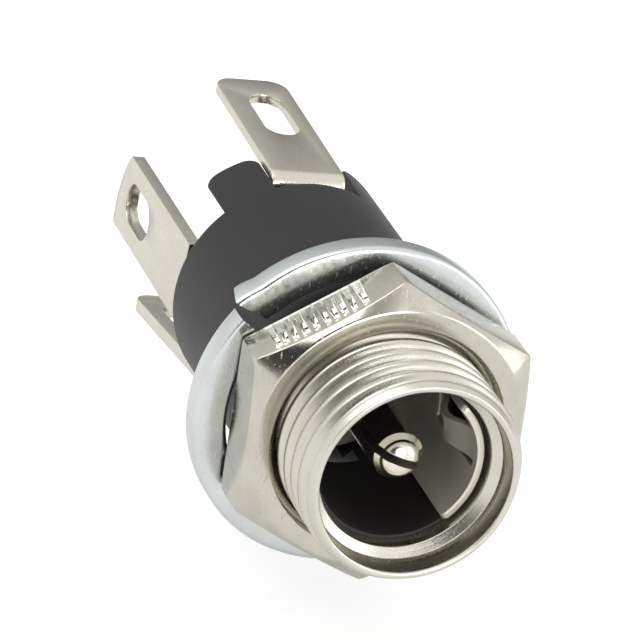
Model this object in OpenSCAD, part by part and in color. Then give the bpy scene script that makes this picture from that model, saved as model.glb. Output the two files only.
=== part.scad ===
// Panel-mount dc barrel jack with a threaded bushing, hex nut and split lock washer.
//
// Frame: the jack's axis is horizontal, its mouth faces -Y and +Z is up. The origin is on
// the axis, in the plane of the body's shoulder, where the front panel seats.
// Every part is drawn upright first: local z runs along the axis towards the mouth, local
// x is +X, local y is up, and angles count from +X towards +Z. lay_down() turns it over.

/* [Threaded bushing] */
// Length of the bushing in front of the body's shoulder
bushing_len = 7.5; // [6.9:0.1:10]
// Crest radius of the thread
thread_r = 5.5; // [5.3:0.05:5.6]
// Radius of the open mouth
mouth_r = 4.8; // [4.6:0.05:4.9]
// Depth of the open mouth
mouth_depth = 1.4; // [1:0.1:2]
// Length of the stepped lip behind the mouth
lip_len = 1.1; // [0.6:0.1:1.6]
// Length of the lead-in chamfer at the front of the thread
lead_len = 0.7; // [0.3:0.1:1]
// Radial depth of the lead-in chamfer
lead_drop = 0.4; // [0.2:0.05:0.45]
// Pitch of the thread
thread_pitch = 1.12; // [1:0.01:1.3]
// Depth of the thread
thread_depth = 0.4; // [0.2:0.02:0.44]
// Full land between the lead-in chamfer and the thread's first groove
thread_land = 0.04; // [0.02:0.02:0.4]

/* [Hex nut] */
// Width across the flats
nut_flats = 14; // [13.4:0.1:15.5]
// Thickness of the nut
nut_h = 3; // [2:0.1:4]
// Radius of the flat face inside the corner chamfer
nut_face_r = 6.8; // [6.4:0.05:6.9]
// Slope of the corner chamfer, in degrees
nut_chamfer_angle = 30; // [15:1:40]
// Radial width of the countersink round the thread
nut_sink = 0.4; // [0.2:0.05:0.6]
// Clocking of the first corner, in degrees
nut_turn = 34; // [0:1:59]

/* [Lock washer] */
// Play all round between the washer's bore and the body
washer_play = 0.54; // [0.3:0.02:0.9]
// Width of the washer's section, from its bore to its rim
washer_band = 1.66; // [1.2:0.02:1.74]
// Thickness of the washer's section
washer_t = 1.4; // [0.8:0.05:1.6]
// Axial rise from one end of the split to the other
washer_rise = 0.92; // [0.4:0.02:1.6]
// Opening of the split, in degrees
washer_gap = 5; // [2:0.5:12]
// Clocking of the raised end, in degrees
washer_turn = 142; // [0:1:359]
// Direction in which the loose washer sits off centre, in degrees
washer_lean = 195; // [0:1:359]
// Edge rounding of the section
washer_edge = 0.3; // [0.1:0.05:0.38]

/* [Moulded body] */
// Width of the shoulder that seats on the panel
shoulder_w = 1.74; // [1.64:0.02:1.8]
// Length of the body, from its shoulder to its rear rim
body_len = 12.95; // [12.5:0.05:15]
// Bore radius of the nose inside the bushing
nose_r = 4.1; // [4:0.02:4.2]
// Wall of the nose
nose_wall = 0.36; // [0.3:0.02:0.4]
// Length of the thick-walled front of the body
front_len = 4.5; // [4.1:0.1:5]
// Wall round the contact chamber
body_wall = 1.2; // [1.1:0.05:1.3]
// Wall of the guards and round the board's seat
guard_wall = 0.86; // [0.8:0.02:0.95]
// Rounding of the rear rim
rim_round = 0.35; // [0.1:0.05:0.5]
// Height of the guard walls over the rear rim
guard_h = 3.55; // [2:0.05:4.5]
// Corner rounding of the guard walls
guard_round = 0.75; // [0.3:0.05:1]
// Right-hand edge of the top notch on the body's outside, in degrees
notch_low = 65.5; // [60:0.5:68]
// Far edge of the narrow guard, in degrees
guard_high = 136; // [124:0.5:144]
// End of the long guard on the lower side, in degrees
guard_end = -80; // [-82:1:-40]

/* [Side openings] */
// Length of the opening beside the sleeve spring
side_window_len = 6; // [4:0.1:7]
// Width of the opening beside the sleeve spring
side_window_w = 3.1; // [2:0.1:3.6]
// Height of that opening's middle over the axis
side_window_up = -0.85; // [-1.2:0.05:0]
// Length of the opening under the switch spring
under_window_len = 4.5; // [3:0.1:5.5]
// Width of the opening under the switch spring
under_window_w = 2.1; // [1.4:0.1:2.6]

/* [Terminal board] */
// Thickness of the board
board_t = 1.8; // [1.4:0.05:2.4]
// How far the board stands out past the rear rim
board_proud = 0.65; // [0.3:0.05:0.9]

/* [Centre pin] */
// Radius of the pin
pin_r = 1.25; // [1.05:0.01:1.3]
// Depth of the pin's tip behind the mouth
pin_recess = 2.6; // [1.5:0.1:4]
// Width of the slot that splits the pin
pin_slot = 0.55; // [0.3:0.05:0.7]
// Depth of that slot
pin_slot_depth = 6; // [3:0.5:9]
// Clocking of the slot, in degrees
pin_slot_turn = -15; // [-90:1:90]
// Radius of the pin's collar on the board
collar_r = 2; // [1.6:0.05:2.4]
// Thickness of the collar
collar_t = 1; // [0.6:0.05:1.5]
// Radius of the pin's tail through the board
tail_r = 0.9; // [0.6:0.05:1]
// Radius of the staked head on the tail
stake_r = 1.5; // [1.2:0.05:1.8]
// Height of the staked head
stake_h = 0.6; // [0.4:0.05:0.9]

/* [Pin lug] */
// Width of the lug
pin_lug_w = 3.9; // [3:0.05:4.1]
// Sheet thickness
pin_lug_t = 0.5; // [0.4:0.05:0.6]
// Radius of the ring under the staked head
pin_lug_ring_r = 2.6; // [2.2:0.05:3]
// Height of the blade's outer face over the body's top, at the bend
pin_lug_rise = 0.02; // [-0.2:0.02:0.3]
// Outer radius of the bend
pin_lug_bend_r = 0.75; // [0.7:0.05:1.2]
// Length of the lug behind the board
pin_lug_len = 11.3; // [9:0.1:14]
// Outward lean of the blade, in degrees
pin_lug_lean = 2; // [0:0.5:8]
// Width of the wire slot
pin_lug_slot_w = 1.85; // [1.2:0.05:2.2]
// Length of the wire slot
pin_lug_slot_l = 4.6; // [2.6:0.1:5.4]

/* [Sleeve and switch lugs] */
// Sheet thickness
lug_t = 0.7; // [0.5:0.05:0.75]
// Width of the switch lug
switch_lug_w = 4.2; // [3.4:0.05:4.6]
// Depth of the switch lug's outer face under the body's outside
switch_lug_inset = 0.55; // [0.5:0.01:0.65]
// Length of the switch lug behind the board
switch_lug_len = 11.65; // [9:0.05:14]
// Width of the sleeve lug
sleeve_lug_w = 4; // [3.4:0.05:4.4]
// Depth of the sleeve lug's outer face under the body's outside
sleeve_lug_inset = 0.85; // [0.8:0.01:0.95]
// Place of the sleeve lug's middle to the right of the axis
sleeve_lug_side = -1.8; // [-2.2:0.05:-1.4]
// Length of the sleeve lug behind the board
sleeve_lug_len = 11.2; // [9:0.05:14]
// Outward lean of the sleeve lug, in degrees
sleeve_lug_lean = 5.4; // [0:0.1:10]
// Width of the lugs' necks in the board
neck_w = 2.6; // [2:0.05:2.8]
// Width of the sleeve lug's neck
sleeve_neck_w = 2; // [1.6:0.05:2.1]
// Place of the sleeve lug's neck to the right of the axis
sleeve_neck_side = -1.3; // [-1.4:0.05:-1.2]
// How far the necks reach into the contact chamber
neck_in = 2.4; // [2:0.05:2.6]
// Width of the lugs' wire holes
lug_hole_w = 2.15; // [1.4:0.05:2.4]
// Length of the lugs' wire holes
lug_hole_l = 3.9; // [2.6:0.05:4.6]
// Distance from the lug's tip to the middle of its wire hole
lug_hole_back = 3.45; // [3:0.05:4.5]

/* [Springs] */
// Sheet thickness of both springs
spring_t = 0.35; // [0.25:0.01:0.4]
// Depth of the sleeve spring's front edge behind the mouth
spring_recess = 1.9; // [1.6:0.05:2.4]
// Lower edge of the sleeve spring's front band, in degrees
band_low = -47; // [-52:1:-40]
// Upper edge of the sleeve spring's front band, in degrees
band_high = 52; // [40:1:58]
// Length of the front band
band_len = 9; // [8.2:0.1:9.1]
// Upper edge of the sleeve spring's rear leg, in degrees
leg_high = -12; // [-20:1:-8]
// Lower edge of the sleeve spring's rear leg, in degrees
leg_low = -62; // [-64:1:-58]
// Inward bow of the contact tongue
tongue_bow = 0.75; // [0.3:0.05:1]
// Angular width of the contact tongue
tongue_span = 26; // [16:1:32]
// Middle of the contact tongue, in degrees
tongue_turn = 14; // [8:1:24]
// Width of the slits beside the tongue, in degrees
tongue_slit = 5; // [3:0.5:8]
// Length of the contact tongue
tongue_len = 4.4; // [3.4:0.05:4.8]
// Sheet left in front of the tongue's root
tongue_front = 0.75; // [0.5:0.05:1]
// Opening behind the tongue's free end
tongue_gap = 0.75; // [0.3:0.05:1.2]

/* [Clearances] */
// Clearance between the nut and the thread
thread_fit = 0.02; // [0.01:0.01:0.06]
// Clearance round the nose and the board
body_fit = 0.04; // [0.02:0.01:0.06]
// Clearance of the loose washer from what it leans on
washer_fit = 0.03; // [0.02:0.01:0.1]
// Clearance round the lugs' necks
neck_fit = 0.05; // [0.02:0.01:0.06]
// Clearance of the pin lug in the top notch's left side
notch_fit = 0.1; // [0.05:0.01:0.3]
// Clearance round the pin's tail
tail_fit = 0.02; // [0.01:0.01:0.05]

/* [Hidden] */
$fn = 96;

// Colours
nickel = [0.80, 0.78, 0.70];
zinc = [0.76, 0.79, 0.79];
tin = [0.84, 0.82, 0.76];
bronze = [0.74, 0.71, 0.62];
black_plastic = [0.13, 0.13, 0.13];
board_plastic = [0.16, 0.15, 0.14];

eps = 0.01;
past = 2;

// Bushing
nose_out_r = nose_r + nose_wall;
bushing_bore_r = nose_out_r + body_fit;
lip_r = (mouth_r + nose_r) / 2 - 0.15;
lip_front = bushing_len - mouth_depth;
lip_back = lip_front - lip_len;
edge_break = 0.12;
rear_relief = 0.25;

// Snap bead of the nose in the bushing
bead_z = lip_back * 0.35;
bead_h = 0.6;
bead_out = 0.14;

// Body and board
body_r = nose_out_r + shoulder_w;
chamber_r = body_r - body_wall;
board_seat_r = body_r - guard_wall;
board_r = board_seat_r - body_fit;
rim_z = -body_len;
guard_z = rim_z - guard_h;
board_back = rim_z - board_proud;
board_front = board_back + board_t;
chamber_front = -front_len;
side_window_z = -0.4;
under_window_z = -2.5;

// Nut and washer
nut_bore_r = thread_r + thread_fit;
nut_corner_r = nut_flats / 2 / cos(30);
washer_r = body_r + washer_play + washer_band;
washer_off = washer_play - washer_fit;
washer_front = -0.12;

// Lugs
pin_lug_up = body_r + pin_lug_rise;
switch_lug_out = body_r - switch_lug_inset;
sleeve_lug_out = body_r - sleeve_lug_inset;
neck_z = board_front + neck_in;
groove_z = neck_z + 0.3;
switch_lug_in = switch_lug_out - lug_t;
sleeve_lug_in = sleeve_lug_out - lug_t;

// Springs
spring_out_r = nose_r - 0.02;
spring_in_r = spring_out_r - spring_t;
spring_z = bushing_len - spring_recess;
band_z = spring_z - band_len;
leg_step_z = band_z - 0.1;
tail_band_z = neck_z - 0.1;
tail_band_len = 2;
tongue_root = 0.2;
nib_r = 0.6;
nib_turn = atan2(-sleeve_lug_in, sleeve_neck_side);
tail_end = nib_turn - 13;
switch_arm_r = switch_lug_in - spring_t + 0.1;
switch_arm_z = -5.3;
switch_arm_len = 2.3;
leaf_groove_z = switch_arm_z + 0.3;
contact_r = 0.45;
contact_gap = 0.03;
switch_weld = 2;

// Turns the upright drawing so that the mouth faces -Y.
module lay_down() {
    rotate([90, 0, 0])
        children();
}

// A piece of tube between two angles.
module arc_wall(r_out, r_in, from, to, low, high) {
    rotate([0, 0, from])
        rotate_extrude(angle = to - from)
            translate([r_in, low])
                square([r_out - r_in, high - low]);
}

// A flat outline with round corners of one radius.
module round_rect(w, h, r) {
    union() {
        translate([-w / 2 + r, -h / 2])
            square([w - 2 * r, h]);
        translate([-w / 2, -h / 2 + r])
            square([w, h - 2 * r]);
        for (x = [-1, 1], y = [-1, 1])
            translate([x * (w / 2 - r), y * (h / 2 - r)])
                circle(r = r, $fn = 32);
    }
}

// An obround hole, long in y.
module obround(w, l) {
    union() {
        square([w, l - w], center = true);
        for (y = [-1, 1])
            translate([0, y * (l - w) / 2])
                circle(d = w, $fn = 40);
    }
}

// The thread's grooves are drawn as rings.
module threaded_bushing() {
    wide = thread_pitch * 0.4;
    narrow = thread_pitch * 0.08;
    first = bushing_len - lead_len - thread_land - wide;
    grooves = floor((first - rear_relief) / thread_pitch - 0.5);
    profile = concat([
        [mouth_r + edge_break, bushing_len],
        [thread_r - lead_drop, bushing_len],
        [thread_r, bushing_len - lead_len]
    ], [
        for (i = [0:grooves], p = [[0, wide], [1, narrow], [1, -narrow], [0, -wide]])
            [thread_r - p[0] * thread_depth, first - i * thread_pitch + p[1]]
    ], [
        [thread_r, rear_relief],
        [thread_r - rear_relief, 0],
        [bushing_bore_r, 0],
        [bushing_bore_r, bead_z - eps],
        [bushing_bore_r + bead_out, bead_z + bead_out - eps],
        [bushing_bore_r + bead_out, bead_z + bead_h - bead_out + eps],
        [bushing_bore_r, bead_z + bead_h + eps],
        [bushing_bore_r, lip_back],
        [lip_r, lip_back],
        [lip_r, lip_front - (mouth_r - lip_r) / 2],
        [mouth_r, lip_front],
        [mouth_r, bushing_len - edge_break]
    ]);
    color(nickel)
        lay_down()
            rotate_extrude()
                polygon(profile);
}

module hex_nut() {
    chamfer_h = (nut_corner_r - nut_face_r + past) * tan(nut_chamfer_angle);
    color(nickel)
        lay_down()
            difference() {
                intersection() {
                    rotate([0, 0, nut_turn])
                        cylinder(r = nut_corner_r, h = nut_h, $fn = 6);
                    rotate_extrude()
                        polygon([
                            [0, 0],
                            [nut_corner_r + past, 0],
                            [nut_corner_r + past, nut_h - chamfer_h],
                            [nut_face_r, nut_h],
                            [0, nut_h]
                        ]);
                }
                translate([0, 0, -1])
                    cylinder(r = nut_bore_r, h = nut_h + 2);
                translate([0, 0, nut_h - nut_sink])
                    cylinder(r1 = nut_bore_r, r2 = nut_bore_r + nut_sink + eps, h = nut_sink + eps);
            }
}

// One helical turn of a rounded section, with a split.
module lock_washer() {
    steps = 72;
    turn = 360 - washer_gap;
    b = washer_band / 2;
    h = washer_t / 2;
    e = washer_edge;
    corner = [0, 30, 60, 90];
    section = [
        for (q = [[1, 1, 0], [-1, 1, 90], [-1, -1, 180], [1, -1, 270]], c = corner)
            [q[0] * (b - e) + e * cos(q[2] + c), q[1] * (h - e) + e * sin(q[2] + c)]
    ];
    n = len(section);
    points = [
        for (i = [0:steps], s = section)
            let (a = washer_turn - turn * i / steps,
                 r = washer_r - b + s[0],
                 z = washer_front - h - washer_rise * (1 - i / steps) + s[1])
            [r * cos(a), r * sin(a), z]
    ];
    sides = [
        for (i = [0:steps - 1], j = [0:n - 1])
            [i * n + j, i * n + (j + 1) % n, (i + 1) * n + (j + 1) % n, (i + 1) * n + j]
    ];
    ends = [
        [for (j = [n - 1:-1:0]) j],
        [for (j = [0:n - 1]) steps * n + j]
    ];
    color(zinc)
        lay_down()
            translate([washer_off * cos(washer_lean), washer_off * sin(washer_lean), 0])
                polyhedron(points, concat(sides, ends));
}

// The round free corner of a guard wall. The wall's end is at x = 0, and side names the
// side of it that the wall lies on; the cutter is drawn towards +y and starts a little
// outside the wall, so that it crosses both faces cleanly.
module guard_corner(side) {
    r = guard_round;
    out = guard_round / 30;
    rotate([90, 0, 180])
        linear_extrude(height = body_r + past)
            polygon(concat(
                [[side * out, guard_z - 1], [-side * r, guard_z - 1], [-side * r, guard_z - out]],
                [for (a = [15:15:75])
                    [-side * r * (1 - sin(a)), guard_z + r * (1 - cos(a))]],
                [[side * out, guard_z + r]]
            ));
}

// Rounding of the rim at the floor of a notch, between two angles.
module rim_rounding(from, to) {
    e = rim_round;
    reach = body_r + past;
    rotate([0, 0, from])
        rotate_extrude(angle = to - from)
            polygon(concat(
                [[body_r - e, rim_z - 1], [reach, rim_z - 1], [reach, rim_z + e]],
                [for (a = [0:18:90]) [body_r - e * (1 - cos(a)), rim_z + e * (1 - sin(a))]]
            ));
}

// The straight-sided notch over the pin lug, cut from the guard wall.
module top_notch() {
    left = -pin_lug_w / 2 - notch_fit;
    right = body_r * cos(notch_low);
    translate([left, 0, guard_z - 1])
        cube([right - left, body_r + past, guard_h + 1]);
    translate([left, 0, 0])
        guard_corner(-1);
    translate([right, 0, 0])
        guard_corner(1);
    rim_rounding(acos(right / board_seat_r), acos(left / board_seat_r));
}

// The open stretch of the guard wall round both other lugs, between two angles.
module side_notch(from, to) {
    arc_wall(body_r + past, tail_r, from, to, guard_z - 1, rim_z);
    rotate([0, 0, from - 90])
        guard_corner(1);
    rotate([0, 0, to - 90])
        guard_corner(-1);
    rim_rounding(from, to);
}

module body_housing() {
    color(black_plastic)
        lay_down()
            difference() {
                rotate_extrude()
                    polygon([
                        [nose_r, lip_back],
                        [nose_out_r, lip_back],
                        [nose_out_r, bead_z + bead_h],
                        [nose_out_r + bead_out, bead_z + bead_h - bead_out],
                        [nose_out_r + bead_out, bead_z + bead_out],
                        [nose_out_r, bead_z],
                        [nose_out_r, 0],
                        [body_r, 0],
                        [body_r, guard_z],
                        [board_seat_r, guard_z],
                        [board_seat_r, board_front],
                        [chamber_r, board_front],
                        [chamber_r, chamber_front],
                        [nose_r, chamber_front + (chamber_r - nose_r)]
                    ]);
                // Top notch for the pin lug, and the open stretch round both other lugs
                top_notch();
                side_notch(guard_high, 360 + guard_end);
                // Opening beside the sleeve spring
                translate([nose_r - 1, side_window_up - side_window_w / 2, side_window_z - side_window_len])
                    cube([body_r, side_window_w, side_window_len]);
                // Opening under the switch spring
                translate([-under_window_w / 2 + 0.15, -body_r - 1, under_window_z - under_window_len])
                    cube([under_window_w, body_r - nose_r + 1.6, under_window_len]);
                // Grooves for the lugs' necks, the switch lug's with its spring's leaf
                translate([-switch_lug_out - neck_fit, -neck_w / 2 - neck_fit, board_back - 1])
                    cube([lug_t + spring_t + 4 * neck_fit, neck_w + 2 * neck_fit, leaf_groove_z - board_back + 1]);
                translate([sleeve_neck_side - sleeve_neck_w / 2 - neck_fit, -sleeve_lug_out - neck_fit, board_back - 1])
                    cube([sleeve_neck_w + 2 * neck_fit, lug_t + spring_t + 4 * neck_fit, groove_z - board_back + 1]);
            }
}

module terminal_board() {
    color(board_plastic)
        lay_down()
            difference() {
                translate([0, 0, board_back])
                    cylinder(r = board_r, h = board_t);
                translate([0, 0, board_back - 1])
                    cylinder(r = tail_r + tail_fit, h = board_t + 2);
                translate([-board_r - 1, -neck_w / 2 - neck_fit, board_back - 1])
                    cube([board_r + 1 - switch_lug_in + neck_fit, neck_w + 2 * neck_fit, board_t + 2]);
                translate([sleeve_neck_side - sleeve_neck_w / 2 - neck_fit, -board_r - 1, board_back - 1])
                    cube([sleeve_neck_w + 2 * neck_fit, board_r + 1 - sleeve_lug_in + neck_fit, board_t + 2]);
            }
}

module centre_pin() {
    tip_z = bushing_len - pin_recess;
    dome_r = pin_r * 0.8;
    dome_h = dome_r * 0.55;
    shoulder_h = 0.25;
    head_z = board_back - pin_lug_t;
    color(nickel)
        lay_down()
            difference() {
                rotate_extrude()
                    polygon(concat(
                        [[0, head_z - stake_h]],
                        [for (a = [75:-15:0])
                            [stake_r * cos(a), head_z - stake_h * (0.35 + 0.65 * sin(a))]],
                        [
                            [stake_r, head_z],
                            [tail_r, head_z],
                            [tail_r, board_front],
                            [collar_r, board_front],
                            [collar_r, board_front + collar_t],
                            [pin_r, board_front + collar_t],
                            [pin_r, tip_z - dome_h - shoulder_h]
                        ],
                        [for (a = [0:15:90])
                            [dome_r * cos(a), tip_z - dome_h + dome_h * sin(a)]]
                    ));
                rotate([0, 0, pin_slot_turn])
                    translate([-pin_r - 1, -pin_slot / 2, tip_z - pin_slot_depth])
                        cube([2 * pin_r + 2, pin_slot, pin_slot_depth + 1]);
            }
}

// A ring on the board, a web up to the bend, and a blade leaning a little outwards.
module pin_lug() {
    t = pin_lug_t;
    r = pin_lug_bend_r;
    up = pin_lug_up;
    tip_z = board_back - pin_lug_len;
    blade_len = pin_lug_len - r;
    corner = 1;
    color(tin)
        lay_down()
            union() {
                difference() {
                    union() {
                        translate([0, 0, board_back - t])
                            cylinder(r = pin_lug_ring_r, h = t);
                        translate([-pin_lug_w / 2, 0, board_back - t])
                            cube([pin_lug_w, up - r, t]);
                    }
                    translate([0, 0, board_back - t - 1])
                        cylinder(r = tail_r + tail_fit, h = t + 2);
                }
                // Bend
                translate([-pin_lug_w / 2, up - r, board_back - r])
                    rotate([90, 0, 90])
                        linear_extrude(height = pin_lug_w)
                            intersection() {
                                difference() {
                                    circle(r = r);
                                    circle(r = r - t);
                                }
                                union() {
                                    square([r + 1, r + 1]);
                                    rotate(-pin_lug_lean)
                                        square([r + 1, r]);
                                }
                            }
                // Blade
                translate([0, up - r, board_back - r])
                    rotate([pin_lug_lean, 0, 0])
                        translate([0, r, 0])
                            rotate([90, 0, 0])
                                linear_extrude(height = t)
                                    difference() {
                                        intersection() {
                                            translate([-pin_lug_w / 2, -blade_len])
                                                square([pin_lug_w, blade_len + eps]);
                                            translate([0, -blade_len / 2])
                                                union() {
                                                    round_rect(pin_lug_w, blade_len, corner);
                                                    translate([-pin_lug_w / 2, 0])
                                                        square([pin_lug_w, blade_len / 2 + 1]);
                                                }
                                        }
                                        translate([0.2, -blade_len + lug_hole_back + 0.65])
                                            obround(pin_lug_slot_w, pin_lug_slot_l);
                                    }
            }
}

module sleeve_lug() {
    color(tin)
        lay_down()
            union() {
                // Neck through the board
                translate([sleeve_neck_side - sleeve_neck_w / 2, -sleeve_lug_out, board_back - eps])
                    cube([sleeve_neck_w, lug_t, neck_z - board_back + eps]);
                // Blade
                translate([sleeve_lug_side, -sleeve_lug_out, board_back])
                    rotate([-sleeve_lug_lean, 0, 0])
                        translate([0, lug_t, 0])
                            rotate([90, 0, 0])
                                linear_extrude(height = lug_t)
                                    difference() {
                                        union() {
                                            translate([0, -sleeve_lug_len / 2])
                                                round_rect(sleeve_lug_w, sleeve_lug_len, 0.8);
                                            translate([-sleeve_lug_w / 2, -sleeve_lug_len / 2])
                                                square([sleeve_lug_w, sleeve_lug_len / 2]);
                                        }
                                        translate([0, -sleeve_lug_len + lug_hole_back])
                                            obround(lug_hole_w, lug_hole_l);
                                    }
            }
}

module switch_lug() {
    w = switch_lug_w;
    tip_r = 5.5;
    tip_side = -1;
    color(tin)
        lay_down()
            union() {
                // Neck through the board
                translate([-switch_lug_out, -neck_w / 2, board_back - eps])
                    cube([lug_t, neck_w, neck_z - board_back + eps]);
                // Blade, with an arched tip that runs down to a sharp lower corner
                translate([-switch_lug_out, 0, board_back])
                    rotate([0, 90, 0])
                        linear_extrude(height = lug_t)
                            difference() {
                                intersection() {
                                    translate([0, -w / 2])
                                        square([switch_lug_len, w]);
                                    union() {
                                        translate([0, -w / 2])
                                            square([switch_lug_len - tip_r, w]);
                                        translate([switch_lug_len - tip_r, tip_side])
                                            circle(r = tip_r, $fn = 96);
                                    }
                                }
                                translate([switch_lug_len - lug_hole_back, 0])
                                    rotate(90)
                                        obround(lug_hole_w, lug_hole_l);
                            }
            }
}

// Rolled sheet against the right wall: a front band with a bowed tongue that is free at
// its rear end, a leg to the rear and a tail that runs on under the pin to a weld nib on
// the sleeve lug's neck.
module sleeve_spring() {
    from = tongue_turn - tongue_span / 2;
    to = tongue_turn + tongue_span / 2;
    tongue_z = spring_z - tongue_front - tongue_len;
    tail_low = tail_band_z - tail_band_len;
    steps = 14;
    bow = concat(
        [for (i = [0:steps]) [tongue_bow * (1 - cos(360 * i / steps)) / 2, tongue_len * i / steps]],
        [[0, tongue_len + tongue_root]]
    );
    last = len(bow) - 1;
    skin = spring_t / 10;
    color(bronze)
        lay_down()
            union() {
                difference() {
                    arc_wall(spring_out_r, spring_in_r, tail_end, band_high, tail_low, spring_z);
                    // Beside the leg
                    arc_wall(spring_out_r + 1, spring_in_r - 1, leg_high, band_high + 5, tail_low - 1, band_z);
                    // Under the band and under the leg
                    arc_wall(spring_out_r + 1, spring_in_r - 1, tail_end - 5, band_low, leg_step_z, spring_z + 1);
                    arc_wall(spring_out_r + 1, spring_in_r - 1, tail_end - 5, leg_low, tail_band_z, leg_step_z + 1);
                    // Beside the tongue and behind its free end
                    arc_wall(spring_out_r + 1, spring_in_r - 1, from - tongue_slit, to + tongue_slit,
                        tongue_z - tongue_gap, tongue_z + tongue_len);
                }
                rotate([0, 0, from])
                    rotate_extrude(angle = tongue_span)
                        polygon(concat(
                            [for (p = bow) [spring_out_r - skin - p[0], tongue_z + p[1]]],
                            [for (i = [last:-1:0]) [spring_in_r + skin - bow[i][0], tongue_z + bow[i][1]]]
                        ));
                // Weld nib against the sleeve lug's neck
                intersection() {
                    rotate([0, 0, nib_turn])
                        translate([spring_in_r + spring_t / 2, 0, tail_low + tail_band_len / 2])
                            rotate([0, 90, 0])
                                cylinder(r = nib_r, h = sleeve_lug_out - spring_in_r);
                    translate([-body_r, -sleeve_lug_in, tail_low])
                        cube([2 * body_r, sleeve_lug_in, tail_band_len]);
                }
            }
}

// A flat leaf on the switch lug's neck, with an arm at its front that curves under the pin
// to a contact button beside the sleeve spring's leg.
module switch_spring() {
    leaf_w = neck_w - 0.2;
    leaf_end = switch_arm_z - 0.15;
    arm_in_r = switch_arm_r - spring_t;
    arm_low = switch_arm_z - switch_arm_len;
    button_turn = 360 + leg_low + 6;
    color(bronze)
        lay_down()
            union() {
                translate([-switch_lug_in, -leaf_w / 2, neck_z - switch_weld])
                    cube([spring_t, leaf_w, leaf_end - neck_z + switch_weld]);
                arc_wall(switch_arm_r, arm_in_r, 174, button_turn + 8, arm_low, switch_arm_z);
                rotate([0, 0, button_turn])
                    translate([spring_out_r + contact_gap, 0, arm_low + switch_arm_len / 2])
                        rotate([0, 90, 0])
                            cylinder(r = contact_r, h = arm_in_r - spring_out_r + spring_t / 2);
            }
}

threaded_bushing();
hex_nut();
lock_washer();
body_housing();
terminal_board();
centre_pin();
pin_lug();
sleeve_spring();
sleeve_lug();
switch_spring();
switch_lug();
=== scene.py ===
"""Panel-mount dc barrel jack: the finished look of every piece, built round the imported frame.

Sizes are in millimetres in the pieces' classes and turned into metres when a mesh is made;
the studio's places are in metres. Meshes are drawn upright, with z along the jack's axis
towards the mouth, x to the right and y up, and stand() turns each point into the frame,
where the mouth faces -Y and +Z is up.
"""

import logging
import math
from dataclasses import dataclass, field
from enum import Enum
from typing import Callable, Sequence

import bmesh
import bpy
from mathutils import Matrix, Vector

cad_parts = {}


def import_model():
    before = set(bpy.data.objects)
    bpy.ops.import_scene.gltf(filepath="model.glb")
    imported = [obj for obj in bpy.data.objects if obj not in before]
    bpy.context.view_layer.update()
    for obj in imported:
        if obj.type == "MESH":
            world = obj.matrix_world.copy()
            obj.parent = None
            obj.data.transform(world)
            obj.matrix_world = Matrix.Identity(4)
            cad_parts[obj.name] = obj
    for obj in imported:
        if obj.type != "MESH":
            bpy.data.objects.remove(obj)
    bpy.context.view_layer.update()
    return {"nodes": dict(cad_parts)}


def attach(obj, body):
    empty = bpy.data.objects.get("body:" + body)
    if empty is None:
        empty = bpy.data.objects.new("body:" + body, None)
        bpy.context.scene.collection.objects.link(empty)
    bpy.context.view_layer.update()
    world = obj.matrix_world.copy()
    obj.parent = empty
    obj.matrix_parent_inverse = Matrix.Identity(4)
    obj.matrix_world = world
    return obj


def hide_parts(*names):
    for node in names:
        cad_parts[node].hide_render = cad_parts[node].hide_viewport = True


log = logging.getLogger("jack")

MM = 0.001
Point2 = tuple[float, float]
Point3 = tuple[float, float, float]
Colour = tuple[float, float, float]
Box = tuple[Point3, Point3]
Tree = bpy.types.NodeTree
Socket = bpy.types.NodeSocket

# Radius that stands for the axis itself, so that no two points of a turned mesh coincide
NEAR_AXIS = 0.0001


# --------------------------------------------------------------------------- geometry helpers


def stand(x: float, y: float, z: float) -> Vector:
    """Turn a point drawn upright, in millimetres, into the frame, in metres.

    Args:
        x: Distance to the right of the axis.
        y: Distance above the axis.
        z: Distance from the body's shoulder towards the mouth.

    Returns:
        The point in the frame.
    """
    return Vector((x * MM, -z * MM, y * MM))


def polar(radius: float, degrees: float, z: float) -> Point3:
    """Give the upright point at a radius and an angle counted from +X towards +Z."""
    a = math.radians(degrees)
    return (radius * math.cos(a), radius * math.sin(a), z)


def smooth(value: float) -> float:
    """Ease a number from 0 to 1 with flat ends, clamping what lies outside."""
    t = min(max(value, 0.0), 1.0)
    return t * t * (3.0 - 2.0 * t)


def filleted(corners: Sequence[Point3], steps: int = 4, closed: bool = True) -> list[Point2]:
    """Round the corners of an outline.

    Args:
        corners: Points as (x, y, radius); a radius of 0 keeps the corner sharp.
        steps: Segments in each round corner.
        closed: Whether the last point joins the first.

    Returns:
        The outline's points.
    """
    out: list[Point2] = []
    count = len(corners)
    for i, (x, y, radius) in enumerate(corners):
        end = not closed and i in (0, count - 1)
        if radius <= 0.0 or end:
            out.append((x, y))
            continue
        here = Vector((x, y))
        back = Vector(corners[i - 1][:2]) - here
        ahead = Vector(corners[(i + 1) % count][:2]) - here
        half = back.angle(ahead) / 2.0
        reach = min(radius / math.tan(half), 0.49 * back.length, 0.49 * ahead.length)
        real = reach * math.tan(half)
        start = here + back.normalized() * reach
        stop = here + ahead.normalized() * reach
        centre = here + (back.normalized() + ahead.normalized()).normalized() * (real / math.sin(half))
        first, last = start - centre, stop - centre
        for k in range(steps + 1):
            t = k / steps
            total = first.angle(last)
            if total < 1e-6:
                spoke = first
            else:
                spoke = (first * math.sin((1 - t) * total) + last * math.sin(t * total)) / math.sin(total)
            out.append(tuple(centre + spoke))
    return out


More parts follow.
